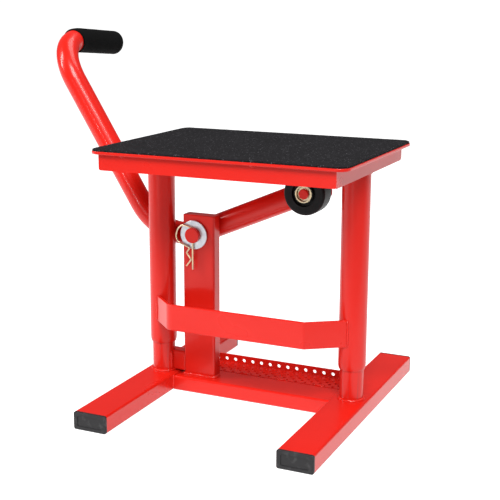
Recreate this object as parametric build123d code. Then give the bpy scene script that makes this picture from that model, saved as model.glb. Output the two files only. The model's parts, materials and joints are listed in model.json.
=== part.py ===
from build123d import *
import math
import os

# Paddock stand for a motorcycle: a base of two feet and a cross beam, a platform that
# rises on two telescoping tubes, and a bent lever whose roller lifts the platform.
# Units are millimetres.  X runs along the beam to the right, Y to the rear, Z up.
# The origin is on the floor, midway between the feet, under the two uprights.

# ---- feet, cross beam and step tray ----
FOOT_PITCH = 295.2          # between the two feet's centre lines, and between the uprights
FOOT_WIDTH = 50.0
FOOT_HEIGHT = 25.0
FOOT_LENGTH = 414.0         # over both end caps
SECTION_WALL = 2.0          # wall of every rectangular tube
SECTION_CORNER = 3.0
CAP_HEAD = 4.0
CAP_PLUG = 14.0
CAP_PLAY = 0.1
CAP_PANEL_DEPTH = 0.8
BEAM_DEPTH = 50.0
BEAM_HEIGHT = 22.0
BEAM_CENTRE_Y = 6.5
TRAY_REAR_Y = 76.0
TRAY_SHEET = 2.0
TRAY_LIP_HEIGHT = 11.5
HOLE_PITCH = 14.4
HOLE_DIAMETER = 5.4
HOLE_EDGE = 2.8             # first floor row to the lip's inner face
HOLE_LIP_RISE = 4.4         # lip row above the floor
HOLE_SIDE_MARGIN = 5.0

# ---- uprights ----
INNER_TUBE_DIAMETER = 33.0
INNER_TUBE_WALL = 2.5
OUTER_TUBE_DIAMETER = 38.5
OUTER_TUBE_BOTTOM_Z = 68.7
GUIDE_CLEARANCE = 0.08      # radial, in the swaged lower end
BORE_CLEARANCE = 0.5        # radial, above it
GUIDE_LENGTH = 16.0
SWAGE_LENGTH = 8.5
SWAGE_WALL = 1.3
LOWER_STOP_GAP = 1.0

# ---- platform ----
PLATFORM_TOP_Z = 369.4
PLATFORM_REACH = 34.7       # beyond the centre line of each upright
PLATFORM_DEPTH = 278.0
PLATFORM_CORNER = 16.0
SHEET_EDGE = 1.0            # rounding of plate, mat and guard edges
PLATE_THICKNESS = 4.0
MAT_THICKNESS = 3.0
MAT_INSET = 0.8
RAIL_DEPTH = 21.4
RAIL_THICKNESS = 3.0
RAIL_CORNER = 3.0
SIDE_OVERHANG = 14.6
END_OVERHANG = 4.5

# ---- front guard ----
GUARD_TOP_Z = 141.5
GUARD_HEIGHT = 38.0
GUARD_THICKNESS = 4.0
GUARD_FRONT_Y = -54.0
GUARD_LEFT_BEND_X = -110.0
GUARD_RIGHT_BEND_X = 96.0
GUARD_LEFT_RADIUS = 16.0
GUARD_RIGHT_RADIUS = 5.0

# ---- pivot post ----
POST_WIDTH = 50.0
POST_DEPTH = 20.0
POST_TOP_Z = 263.0
POST_CENTRE_X = -87.1
POST_CAP_THICKNESS = 2.5
BRACE_HEIGHT = 30.0
BRACE_GAP = 1.0

# ---- lever ----
PIVOT_X = -93.3
PIVOT_Z = 234.5
PIN_DIAMETER = 22.0
PIN_CLEARANCE = 0.05        # radial running fit
SLEEVE_WALL = 2.5
AXIAL_GAP = 0.4             # between parts that turn past each other
THRUST_WASHER = 3.0
FRONT_WASHER = 3.0
FRONT_WASHER_DIAMETER = 42.0
PIN_TAIL = 2.5
PIN_CHAMFER = 0.6
LEVER_DIAMETER = 33.2
LEVER_WALL = 2.5
ARM_ANGLE = 23.3            # roller arm above level, platform down
ARM_RADIUS = 185.5          # pivot to roller axle
ARM_TAIL = 14.0             # tube beyond the axle
BEND_OFFSET = 77.6          # pivot to the lower bend's corner
HANDLE_ANGLE = 58.2         # handle above level
HANDLE_LENGTH = 353.3       # between the corners of the two bends
LOWER_BEND_RADIUS = 84.0
UPPER_BEND_RADIUS = 67.3
GRIP_DROOP = 4.0
GRIP_END = 176.2            # from the upper bend's corner
GRIP_BEND_COVER = 0.16      # part of the upper bend under the foam
GRIP_FOAM = 2.25
GRIP_END_WALL = 4.0
LEVER_TRAVEL = 65.0         # degrees
LIFT_TRAVEL = 112.0

# ---- spring clip ----
CLIP_WIRE = 2.5
CLIP_CLEARANCE = 1.2        # axial play between the clip and the washer
CLIP_HOLE_CLEARANCE = 0.15
CLIP_LEG = 50.0             # straight leg below the pin's axis
CLIP_LOOP_WIDTH = 27.0
PIN_TIP = 2.1               # pin beyond the clip's wire

# ---- roller ----
ROLLER_DIAMETER = 59.4
ROLLER_WIDTH = 30.0
ROLLER_EDGE = 4.0
ROLLER_RECESS_RADIUS = 17.5
ROLLER_RECESS_DEPTH = 5.0
BUSH_DIAMETER = 24.0
BUSH_PROUD = 1.2
BUSH_COUNTERBORE_RADIUS = 10.3
BUSH_COUNTERBORE_DEPTH = 5.5
AXLE_DIAMETER = 14.0
AXLE_PROUD = 1.0
AXLE_WASHER = 1.6
RETAINER_THICKNESS = 1.4
RAMP_WIDTH = 24.0
RAMP_GAP = 0.6              # between the roller and the ramp it lifts by
RAMP_RUN_OUT = 6.0

# ---- derived positions ----
FOOT_X = FOOT_PITCH / 2
BEAM_REAR_Y = BEAM_CENTRE_Y + BEAM_DEPTH / 2
BEAM_LENGTH = FOOT_PITCH - FOOT_WIDTH
PLATFORM_WIDTH = FOOT_PITCH + 2 * PLATFORM_REACH
INNER_RADIUS = INNER_TUBE_DIAMETER / 2
OUTER_RADIUS = OUTER_TUBE_DIAMETER / 2
PLATE_TOP_Z = PLATFORM_TOP_Z - MAT_THICKNESS
PLATE_UNDER_Z = PLATE_TOP_Z - PLATE_THICKNESS
RAIL_BOTTOM_Z = PLATE_UNDER_Z - RAIL_DEPTH
SIDE_RAIL_X = PLATFORM_WIDTH / 2 - SIDE_OVERHANG
END_RAIL_Y = PLATFORM_DEPTH / 2 - END_OVERHANG
POST_CENTRE_Y = BEAM_CENTRE_Y
POST_FRONT_Y = POST_CENTRE_Y - POST_DEPTH / 2
POST_REAR_Y = POST_CENTRE_Y + POST_DEPTH / 2
PIN_RADIUS = PIN_DIAMETER / 2
SLEEVE_RADIUS = PIN_RADIUS + PIN_CLEARANCE + SLEEVE_WALL
LEVER_RADIUS = LEVER_DIAMETER / 2
GRIP_RADIUS = LEVER_RADIUS + GRIP_FOAM
THRUST_FRONT_Y = POST_REAR_Y + AXIAL_GAP
LEVER_Y = THRUST_FRONT_Y + THRUST_WASHER + LEVER_RADIUS
WASHER_FRONT_Y = POST_FRONT_Y - AXIAL_GAP - FRONT_WASHER
CLIP_Y = WASHER_FRONT_Y - CLIP_CLEARANCE - CLIP_WIRE / 2
PIN_FRONT_Y = CLIP_Y - CLIP_WIRE / 2 - PIN_TIP
AXLE_RADIUS = AXLE_DIAMETER / 2
ROLLER_RADIUS = ROLLER_DIAMETER / 2
BUSH_RADIUS = BUSH_DIAMETER / 2
AXLE_WASHER_FRONT_Y = LEVER_Y - LEVER_RADIUS - AXLE_WASHER
ROLLER_REAR_Y = AXLE_WASHER_FRONT_Y - AXIAL_GAP
ROLLER_FRONT_Y = ROLLER_REAR_Y - ROLLER_WIDTH
ROLLER_X = PIVOT_X + ARM_RADIUS * math.cos(math.radians(ARM_ANGLE))
ROLLER_Z = PIVOT_Z + ARM_RADIUS * math.sin(math.radians(ARM_ANGLE))


def slab(x0, x1, y0, y1, z0, z1):
    """Block between two opposite corners."""
    centre = Pos((x0 + x1) / 2, (y0 + y1) / 2, (z0 + z1) / 2)
    return centre * Box(abs(x1 - x0), abs(y1 - y0), abs(z1 - z0))


def rod_along_y(radius, x, z, y0, y1):
    """Round bar parallel to Y."""
    start = Plane(origin=(x, y0, z), x_dir=(1, 0, 0), z_dir=(0, 1, 0))
    return extrude(start * Circle(radius), amount=y1 - y0)


def ring_along_y(outer, inner, x, z, y0, y1):
    """Round ring parallel to Y."""
    return rod_along_y(outer, x, z, y0, y1) - rod_along_y(inner, x, z, y0, y1)


def hollow_section(plane, width, height, length):
    """Rectangular tube, its length centred on the plane."""
    wall = 2 * SECTION_WALL
    outer = RectangleRounded(width, height, SECTION_CORNER)
    inner = RectangleRounded(width - wall, height - wall, SECTION_CORNER - SECTION_WALL)
    return extrude(plane * (outer - inner), amount=length / 2, both=True)


def bent_path(corners, radii):
    """Straight runs joined by arcs of the given radii at the inner corners."""
    points = [Vector(*corner) for corner in corners]
    edges = []
    start = points[0]
    for index, radius in enumerate(radii):
        corner = points[index + 1]
        inward = (corner - points[index]).normalized()
        outward = (points[index + 2] - corner).normalized()
        half = math.acos(max(-1.0, min(1.0, inward.dot(outward)))) / 2
        reach = radius * math.tan(half)
        centre_way = (outward - inward).normalized()
        arc_start = corner - inward * reach
        arc_end = corner + outward * reach
        arc_mid = corner + centre_way * (radius / math.cos(half) - radius)
        edges.append(Line(start, arc_start))
        edges.append(ThreePointArc(arc_start, arc_mid, arc_end))
        start = arc_end
    edges.append(Line(start, points[-1]))
    return Wire([edge.edge() for edge in edges])


def swept_bar(path, outer, inner=0.0):
    """Round bar or tube along a bent path."""
    section = Circle(outer)
    if inner > 0:
        section = section - Circle(inner)
    start = Plane(origin=path @ 0, z_dir=path % 0)
    return sweep(start * section, path=path)


# ---------------------------------------------------------------- base

def foot_tube(side):
    plane = Plane.XZ.offset(0)
    body = hollow_section(plane, FOOT_WIDTH, FOOT_HEIGHT, FOOT_LENGTH - 2 * CAP_HEAD)
    return Pos(side * FOOT_X, 0, FOOT_HEIGHT / 2) * body


def foot_cap(side, end):
    """Moulded plug for one foot end; end is -1 at the front and 1 at the rear."""
    head_outer = FOOT_LENGTH / 2
    head_inner = head_outer - CAP_HEAD
    outline = RectangleRounded(FOOT_WIDTH, FOOT_HEIGHT, SECTION_CORNER)
    head = extrude(Plane.XZ * outline, amount=CAP_HEAD)
    front = head.faces().sort_by(Axis.Y)[0]
    head = fillet(front.edges(), 1.5)
    panel = RectangleRounded(FOOT_WIDTH - 12, FOOT_HEIGHT - 10, 2.0)
    cut = Plane.XZ.offset(CAP_HEAD - CAP_PANEL_DEPTH) * panel
    head = head - extrude(cut, amount=2 * CAP_PANEL_DEPTH)
    inset = 2 * (SECTION_WALL + CAP_PLAY)
    plug = RectangleRounded(FOOT_WIDTH - inset, FOOT_HEIGHT - inset, 1.0)
    core = RectangleRounded(FOOT_WIDTH - inset - 4, FOOT_HEIGHT - inset - 4, 0.8)
    skirt = extrude(Plane.XZ * (plug - core), amount=-CAP_PLUG)
    cap = head + skirt
    if end > 0:
        cap = Rot(0, 0, 180) * cap
    return Pos(side * FOOT_X, end * head_inner, FOOT_HEIGHT / 2) * cap


def cross_beam():
    body = hollow_section(Plane.YZ, BEAM_DEPTH, BEAM_HEIGHT, BEAM_LENGTH)
    return Pos(0, BEAM_CENTRE_Y, BEAM_HEIGHT / 2) * body


def hole_row(offset):
    """X positions of one row of the staggered perforation."""
    limit = BEAM_LENGTH / 2 - HOLE_SIDE_MARGIN
    count = int(limit // HOLE_PITCH) + 1
    places = [offset + HOLE_PITCH * step for step in range(-count, count + 1)]
    return [place for place in places if abs(place) <= limit]


def step_tray():
    top = BEAM_HEIGHT
    half = BEAM_LENGTH / 2
    lip_inner = TRAY_REAR_Y - TRAY_SHEET
    floor = slab(-half, half, BEAM_REAR_Y, TRAY_REAR_Y, top - TRAY_SHEET, top)
    lip = slab(-half, half, lip_inner, TRAY_REAR_Y, top, top + TRAY_LIP_HEIGHT)
    radius = HOLE_DIAMETER / 2
    rows = int((lip_inner - HOLE_EDGE - BEAM_REAR_Y - radius) / (HOLE_PITCH / 2)) + 1
    holes = []
    for row in range(rows):
        y = lip_inner - HOLE_EDGE - row * HOLE_PITCH / 2
        for x in hole_row((row % 2) * HOLE_PITCH / 2):
            holes.append(Pos(x, y) * Circle(radius))
    pattern = Plane.XY.offset(top - 2 * TRAY_SHEET) * (Sketch() + holes)
    floor = floor - extrude(pattern, amount=3 * TRAY_SHEET)
    lip_holes = []
    for x in hole_row(HOLE_PITCH / 2):
        lip_holes.append(Pos(x, top + HOLE_LIP_RISE) * Circle(radius))
    lip_pattern = Plane.XZ.offset(-lip_inner + TRAY_SHEET) * (Sketch() + lip_holes)
    lip = lip - extrude(lip_pattern, amount=-4 * TRAY_SHEET)
    return floor + lip


def inner_tube(side):
    height = PLATE_UNDER_Z - LOWER_STOP_GAP - FOOT_HEIGHT
    tube = Circle(INNER_RADIUS) - Circle(INNER_RADIUS - INNER_TUBE_WALL)
    foot_top = Plane.XY.offset(FOOT_HEIGHT)
    return Pos(side * FOOT_X, 0, 0) * extrude(foot_top * tube, amount=height)


def pivot_post():
    height = POST_TOP_Z - POST_CAP_THICKNESS - BEAM_HEIGHT
    body = hollow_section(Plane.XY, POST_WIDTH, POST_DEPTH, height)
    body = Pos(POST_CENTRE_X, POST_CENTRE_Y, BEAM_HEIGHT + height / 2) * body
    hole = rod_along_y(SLEEVE_RADIUS, PIVOT_X, PIVOT_Z, POST_FRONT_Y - 1, POST_REAR_Y + 1)
    return body - hole


def post_cap():
    outline = RectangleRounded(POST_WIDTH, POST_DEPTH, SECTION_CORNER)
    base = Plane.XY.offset(POST_TOP_Z - POST_CAP_THICKNESS)
    cap = extrude(base * outline, amount=POST_CAP_THICKNESS)
    cap = fillet(cap.faces().sort_by(Axis.Z)[-1].edges(), 1.2)
    return Pos(POST_CENTRE_X, POST_CENTRE_Y, 0) * cap


def pivot_sleeve():
    bore = PIN_RADIUS + PIN_CLEARANCE
    return ring_along_y(SLEEVE_RADIUS, bore, PIVOT_X, PIVOT_Z, POST_FRONT_Y, POST_REAR_Y)


def post_brace():
    """Box piece between the post and the left upright, cut round the upright."""
    right = POST_CENTRE_X - POST_WIDTH / 2
    left = -FOOT_X + INNER_RADIUS / 2
    middle_z = FOOT_HEIGHT + BRACE_GAP + BRACE_HEIGHT / 2
    body = hollow_section(Plane.YZ, POST_DEPTH, BRACE_HEIGHT, right - left)
    body = Pos((left + right) / 2, POST_CENTRE_Y, middle_z) * body
    upright = Pos(-FOOT_X, 0, middle_z) * Cylinder(INNER_RADIUS, 2 * BRACE_HEIGHT)
    return body - upright


# ---------------------------------------------------------------- platform

def platform_sheet(inset, bottom, thickness):
    outline = RectangleRounded(
        PLATFORM_WIDTH - 2 * inset, PLATFORM_DEPTH - 2 * inset, PLATFORM_CORNER - inset
    )
    sheet = extrude(Plane.XY.offset(bottom) * outline, amount=thickness)
    rims = sheet.faces().filter_by(Plane.XY).edges()
    return fillet(rims, SHEET_EDGE)


def end_rail(end):
    """Rail under the front (-1) or rear (1) edge, its lower corners rounded."""
    outer = end * END_RAIL_Y
    inner = end * (END_RAIL_Y - RAIL_THICKNESS)
    rail = slab(-SIDE_RAIL_X, SIDE_RAIL_X, inner, outer, RAIL_BOTTOM_Z, PLATE_UNDER_Z)
    corners = rail.edges().filter_by(Axis.Y).group_by(Axis.Z)[0]
    return fillet(corners, RAIL_CORNER)


def side_rail(side):
    outer = side * SIDE_RAIL_X
    inner = side * (SIDE_RAIL_X - RAIL_THICKNESS)
    half = END_RAIL_Y - RAIL_THICKNESS
    return slab(inner, outer, -half, half, RAIL_BOTTOM_Z, PLATE_UNDER_Z)


def outer_tube(side):
    bottom = OUTER_TUBE_BOTTOM_Z
    guide = INNER_RADIUS + GUIDE_CLEARANCE
    bore = INNER_RADIUS + BORE_CLEARANCE
    mouth = guide + SWAGE_WALL
    swell = OUTER_RADIUS - mouth
    outline = [
        (guide, bottom),
        (mouth, bottom),
        (mouth + 0.55 * swell, bottom + 0.25 * SWAGE_LENGTH),
        (mouth + 0.88 * swell, bottom + 0.60 * SWAGE_LENGTH),
        (OUTER_RADIUS, bottom + SWAGE_LENGTH),
        (OUTER_RADIUS, PLATE_UNDER_Z),
        (bore, PLATE_UNDER_Z),
        (bore, bottom + GUIDE_LENGTH),
        (guide, bottom + GUIDE_LENGTH),
        (guide, bottom),
    ]
    profile = make_face(Plane.XZ * Polyline(*outline))
    tube = Pos(side * FOOT_X, 0, 0) * revolve(profile, Axis.Z)
    near = side * (SIDE_RAIL_X - RAIL_THICKNESS)
    far = side * (SIDE_RAIL_X + OUTER_RADIUS)
    notch = slab(near, far, -OUTER_RADIUS, OUTER_RADIUS, RAIL_BOTTOM_Z, PLATE_TOP_Z)
    return tube - notch


def front_guard():
    middle = GUARD_FRONT_Y + GUARD_THICKNESS / 2
    height = GUARD_TOP_Z - GUARD_HEIGHT / 2
    corners = [
        (-FOOT_X, -INNER_RADIUS, height),
        (GUARD_LEFT_BEND_X, middle, height),
        (GUARD_RIGHT_BEND_X, middle, height),
        (FOOT_X, -INNER_RADIUS, height),
    ]
    path = bent_path(corners, [GUARD_LEFT_RADIUS, GUARD_RIGHT_RADIUS])
    start = Plane(origin=path @ 0, x_dir=(0, 0, 1), z_dir=path % 0)
    section = start * RectangleRounded(GUARD_HEIGHT, GUARD_THICKNESS, SHEET_EDGE)
    bar = sweep(section, path=path)
    for side in (-1, 1):
        bar = bar - Pos(side * FOOT_X, 0, height) * Cylinder(OUTER_RADIUS, 2 * GUARD_HEIGHT)
    return bar


def ramp_point(travel):
    """Where the roller, swung through travel degrees, meets the ramp at platform rest."""
    swing = math.radians(ARM_ANGLE + travel)
    rise_rate = LIFT_TRAVEL / math.radians(LEVER_TRAVEL)
    x = PIVOT_X + ARM_RADIUS * math.cos(swing)
    z = PIVOT_Z + ARM_RADIUS * math.sin(swing) - rise_rate * math.radians(travel)
    slope_x = -ARM_RADIUS * math.sin(swing)
    slope_z = ARM_RADIUS * math.cos(swing) - rise_rate
    size = math.hypot(slope_x, slope_z)
    reach = ROLLER_RADIUS + RAMP_GAP
    return (x + reach * slope_z / size, z - reach * slope_x / size)


def lift_ramp():
    """Curved track that keeps the roller under the platform to the end of its swing."""
    steps = [LEVER_TRAVEL * step / 60 for step in range(61)]
    tops = [ramp_point(step) for step in steps]
    peak = max(range(61), key=lambda step: tops[step][1])
    curve = [point for point in tops[peak:] if point[1] < PLATE_UNDER_Z - 0.8]
    last = curve[-1]
    before = curve[-2]
    run = math.hypot(last[0] - before[0], last[1] - before[1])
    end_x = last[0] + RAMP_RUN_OUT * (last[0] - before[0]) / run
    end_z = last[1] + RAMP_RUN_OUT * (last[1] - before[1]) / run
    curve = curve[:-1:3] + [last, (end_x, end_z)]
    outline = [(curve[0][0], PLATE_UNDER_Z)] + curve + [(end_x, PLATE_UNDER_Z)]
    outline.append(outline[0])
    middle = (ROLLER_FRONT_Y + ROLLER_REAR_Y) / 2
    face = Plane.XZ.offset(-middle) * make_face(Polyline(*outline))
    return extrude(face, amount=RAMP_WIDTH / 2, both=True)


# ---------------------------------------------------------------- lever

def lever_points():
    """Corner points of the lever tube, from the roller end to the grip end."""
    arm = math.radians(ARM_ANGLE)
    handle = math.radians(HANDLE_ANGLE)
    droop = math.radians(GRIP_DROOP)
    far = ARM_RADIUS + ARM_TAIL
    tip = (PIVOT_X + far * math.cos(arm), LEVER_Y, PIVOT_Z + far * math.sin(arm))
    low_x = PIVOT_X - BEND_OFFSET * math.cos(arm)
    low_z = PIVOT_Z - BEND_OFFSET * math.sin(arm)
    low = (low_x, LEVER_Y, low_z)
    top_x = low_x - HANDLE_LENGTH * math.cos(handle)
    top_z = low_z + HANDLE_LENGTH * math.sin(handle)
    top = (top_x, LEVER_Y, top_z)
    end = GRIP_END - GRIP_END_WALL
    grip = (top_x, LEVER_Y + end * math.cos(droop), top_z - end * math.sin(droop))
    return [tip, low, top, grip]


def lever_tube():
    path = bent_path(lever_points(), [LOWER_BEND_RADIUS, UPPER_BEND_RADIUS])
    tube = swept_bar(path, LEVER_RADIUS, LEVER_RADIUS - LEVER_WALL)
    near = LEVER_Y - 2 * LEVER_RADIUS
    far = LEVER_Y + 2 * LEVER_RADIUS
    tube = tube - rod_along_y(PIN_RADIUS, PIVOT_X, PIVOT_Z, near, far)
    return tube - rod_along_y(AXLE_RADIUS, ROLLER_X, ROLLER_Z, near, far)


def arm_end_plug():
    tip = Vector(*lever_points()[0])
    arm = math.radians(ARM_ANGLE)
    outward = (math.cos(arm), 0, math.sin(arm))
    disc = Plane(origin=tip, z_dir=outward) * Circle(LEVER_RADIUS)
    plug = extrude(disc, amount=2.0)
    return chamfer(plug.faces().sort_by(Axis.X)[-1].edges(), 0.8)


def lever_grip():
    """Foam sleeve over the end of the lever and the last of its upper bend."""
    path = bent_path(lever_points(), [LOWER_BEND_RADIUS, UPPER_BEND_RADIUS])
    bend = path.edges().sort_by(lambda edge: (edge @ 0.5).Y)[-2]
    bend = bend.trim(1 - GRIP_BEND_COVER, 1)
    droop = math.radians(GRIP_DROOP)
    along = Vector(0, math.cos(droop), -math.sin(droop))
    tube_end = Vector(*lever_points()[3])
    foam_path = Wire([bend, Line(bend @ 1, tube_end).edge()])
    sleeve = swept_bar(foam_path, GRIP_RADIUS, LEVER_RADIUS)
    cap_plane = Plane(origin=tube_end, x_dir=(1, 0, 0), z_dir=along)
    cap = extrude(cap_plane * Circle(GRIP_RADIUS), amount=GRIP_END_WALL)
    far_rim = cap.faces().filter_by(GeomType.PLANE).sort_by(Axis.Y)[-1].edges()
    return sleeve + fillet(far_rim, 3.0)


def clip_path():
    """Centre line of the R-shaped clip, from the foot of its straight leg."""
    exit_z = PIN_RADIUS - 0.8
    shape = [
        (0.0, -CLIP_LEG),
        (0.0, exit_z),
        (-0.78 * CLIP_LOOP_WIDTH, exit_z + 6.3),
        (-1.09 * CLIP_LOOP_WIDTH, -9.5),
        (-4.5, -18.4),
        (-9.8, -26.0),
        (-2.4, -35.8),
        (-10.2, -45.6),
    ]
    corners = [(PIVOT_X + x, CLIP_Y, PIVOT_Z + z) for x, z in shape]
    return bent_path(corners, [2.5, 12.5, 12.0, 2.0, 2.0, 2.0])


def pivot_pin():
    rear = LEVER_Y + LEVER_RADIUS + PIN_TAIL
    pin = rod_along_y(PIN_RADIUS, PIVOT_X, PIVOT_Z, PIN_FRONT_Y, rear)
    faces = pin.faces().filter_by(GeomType.PLANE).sort_by(Axis.Y)
    pin = chamfer(faces[0].edges() + faces[-1].edges(), PIN_CHAMFER)
    return pin - swept_bar(clip_path(), CLIP_WIRE / 2 + CLIP_HOLE_CLEARANCE)


def front_washer():
    rear = WASHER_FRONT_Y + FRONT_WASHER
    outer = FRONT_WASHER_DIAMETER / 2
    ring = ring_along_y(outer, PIN_RADIUS + 0.3, PIVOT_X, PIVOT_Z, WASHER_FRONT_Y, rear)
    rims = ring.edges().filter_by(GeomType.CIRCLE).filter_by(lambda e: e.radius > outer - 0.1)
    return chamfer(rims, 0.5)


def thrust_washer():
    rear = THRUST_FRONT_Y + THRUST_WASHER
    return ring_along_y(LEVER_RADIUS, PIN_RADIUS + 0.2, PIVOT_X, PIVOT_Z, THRUST_FRONT_Y, rear)


def spring_clip():
    """R-shaped wire: a straight leg through the pin and a waved leg beside it."""
    return swept_bar(clip_path(), CLIP_WIRE / 2)


def roller_axle():
    front = ROLLER_FRONT_Y - BUSH_PROUD - AXLE_PROUD
    rear = LEVER_Y + LEVER_RADIUS + PIN_TAIL
    axle = rod_along_y(AXLE_RADIUS, ROLLER_X, ROLLER_Z, front, rear)
    faces = axle.faces().filter_by(GeomType.PLANE).sort_by(Axis.Y)
    return chamfer(faces[0].edges() + faces[-1].edges(), 1.0)


def axle_washer():
    rear = AXLE_WASHER_FRONT_Y + AXLE_WASHER
    outer = BUSH_RADIUS + 1.0
    return ring_along_y(outer, AXLE_RADIUS, ROLLER_X, ROLLER_Z, AXLE_WASHER_FRONT_Y, rear)


def axle_retainer():
    floor = ROLLER_FRONT_Y - BUSH_PROUD + BUSH_COUNTERBORE_DEPTH
    rear = floor - AXIAL_GAP
    outer = BUSH_COUNTERBORE_RADIUS - 0.5
    front = rear - RETAINER_THICKNESS
    return ring_along_y(outer, AXLE_RADIUS, ROLLER_X, ROLLER_Z, front, rear)


# ---------------------------------------------------------------- roller

def roller_wheel():
    wheel = rod_along_y(ROLLER_RADIUS, ROLLER_X, ROLLER_Z, ROLLER_FRONT_Y, ROLLER_REAR_Y)
    wheel = fillet(wheel.edges().filter_by(GeomType.CIRCLE), ROLLER_EDGE)
    front_cut = ROLLER_FRONT_Y + ROLLER_RECESS_DEPTH
    rear_cut = ROLLER_REAR_Y - ROLLER_RECESS_DEPTH
    hub = BUSH_RADIUS + 1.5
    for near, far in ((ROLLER_FRONT_Y - 1, front_cut), (rear_cut, ROLLER_REAR_Y + 1)):
        wheel = wheel - ring_along_y(ROLLER_RECESS_RADIUS, hub, ROLLER_X, ROLLER_Z, near, far)
    return wheel - rod_along_y(BUSH_RADIUS, ROLLER_X, ROLLER_Z, ROLLER_FRONT_Y - 1, ROLLER_REAR_Y + 1)


def roller_bush():
    front = ROLLER_FRONT_Y - BUSH_PROUD
    bush = rod_along_y(BUSH_RADIUS, ROLLER_X, ROLLER_Z, front, ROLLER_REAR_Y)
    mouth = front + BUSH_COUNTERBORE_DEPTH
    bush = bush - rod_along_y(BUSH_COUNTERBORE_RADIUS, ROLLER_X, ROLLER_Z, front - 1, mouth)
    bore = AXLE_RADIUS + PIN_CLEARANCE
    return bush - rod_along_y(bore, ROLLER_X, ROLLER_Z, front - 1, ROLLER_REAR_Y + 1)


def build_nodes():
    """Every named piece of the stand."""
    nodes = {
        "cross_beam": cross_beam(),
        "step_tray": step_tray(),
        "pivot_post": pivot_post(),
        "post_cap": post_cap(),
        "pivot_sleeve": pivot_sleeve(),
        "post_brace": post_brace(),
        "platform_plate": platform_sheet(0.0, PLATE_UNDER_Z, PLATE_THICKNESS),
        "anti_slip_mat": platform_sheet(MAT_INSET, PLATE_TOP_Z, MAT_THICKNESS),
        "front_guard": front_guard(),
        "lift_ramp": lift_ramp(),
        "lever_tube": lever_tube(),
        "arm_end_plug": arm_end_plug(),
        "lever_grip": lever_grip(),
        "pivot_pin": pivot_pin(),
        "front_washer": front_washer(),
        "thrust_washer": thrust_washer(),
        "spring_clip": spring_clip(),
        "roller_axle": roller_axle(),
        "axle_washer": axle_washer(),
        "axle_retainer": axle_retainer(),
        "roller_wheel": roller_wheel(),
        "roller_bush": roller_bush(),
    }
    for side, side_name in ((-1, "left"), (1, "right")):
        nodes[side_name + "_foot_tube"] = foot_tube(side)
        nodes[side_name + "_inner_tube"] = inner_tube(side)
        nodes[side_name + "_outer_tube"] = outer_tube(side)
        nodes[side_name + "_rail"] = side_rail(side)
        for end, end_name in ((-1, "front"), (1, "rear")):
            nodes[side_name + "_" + end_name + "_foot_cap"] = foot_cap(side, end)
    for end, end_name in ((-1, "front"), (1, "rear")):
        nodes[end_name + "_rail"] = end_rail(end)
    return nodes


os.makedirs("parts", exist_ok=True)
for node_name, node_shape in build_nodes().items():
    export_step(node_shape, os.path.join("parts", node_name + ".step"))
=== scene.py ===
import json
import logging
import math
import random
from collections.abc import Iterable, Mapping, Sequence
from dataclasses import dataclass, field
from enum import Enum

import bpy
import numpy as np
from mathutils import Matrix, Vector, noise


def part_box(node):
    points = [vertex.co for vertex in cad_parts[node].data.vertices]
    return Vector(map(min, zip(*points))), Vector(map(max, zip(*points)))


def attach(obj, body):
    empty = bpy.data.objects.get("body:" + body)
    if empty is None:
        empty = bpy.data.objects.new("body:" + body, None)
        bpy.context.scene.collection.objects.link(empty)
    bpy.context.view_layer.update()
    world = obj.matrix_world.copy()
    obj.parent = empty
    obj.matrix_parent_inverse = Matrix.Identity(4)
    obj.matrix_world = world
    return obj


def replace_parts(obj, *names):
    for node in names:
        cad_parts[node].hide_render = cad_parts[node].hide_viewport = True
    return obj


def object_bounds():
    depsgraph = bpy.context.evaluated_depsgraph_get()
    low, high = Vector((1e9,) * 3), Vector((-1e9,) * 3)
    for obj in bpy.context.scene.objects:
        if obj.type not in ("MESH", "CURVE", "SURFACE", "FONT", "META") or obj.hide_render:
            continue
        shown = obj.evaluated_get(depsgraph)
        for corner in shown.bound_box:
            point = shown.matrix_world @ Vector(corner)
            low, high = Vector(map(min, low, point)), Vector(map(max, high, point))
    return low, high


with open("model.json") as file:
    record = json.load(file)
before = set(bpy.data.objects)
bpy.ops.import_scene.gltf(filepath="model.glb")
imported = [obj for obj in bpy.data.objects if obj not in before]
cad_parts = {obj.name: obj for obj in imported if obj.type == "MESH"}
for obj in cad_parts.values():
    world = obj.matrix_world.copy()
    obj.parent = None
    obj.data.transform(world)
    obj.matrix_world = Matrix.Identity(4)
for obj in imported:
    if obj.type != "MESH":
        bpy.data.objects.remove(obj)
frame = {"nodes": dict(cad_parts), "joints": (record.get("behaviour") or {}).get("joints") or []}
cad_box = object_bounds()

# A paddock stand for a motorcycle: a red steel base, a platform that slides up two
# uprights, and a bent lever whose roller lifts it.  Metres, Z up, as in the CAD frame.

MM = 0.001
LOG = logging.getLogger("paddock_stand")
NOISE_SEED = 11
Colour = tuple[float, float, float]
Place = tuple[float, float, float]


class Body(Enum):
    """The CAD bodies that pieces ride on."""

    BASE = "base"
    PLATFORM = "platform"
    LEVER = "lever"


class Slot(Enum):
    """The record's material slots that the made pieces take their finish from."""

    RED = "red_coat"
    MAT = "mat"
    FOAM = "foam"


class Side(Enum):
    """The left and right halves of the stand, by the sign of X."""

    LEFT = -1
    RIGHT = 1

    @property
    def label(self) -> str:
        """The side's word in node names."""
        return self.name.lower()


# ------------------------------------------------------------------ shader maths


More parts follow.
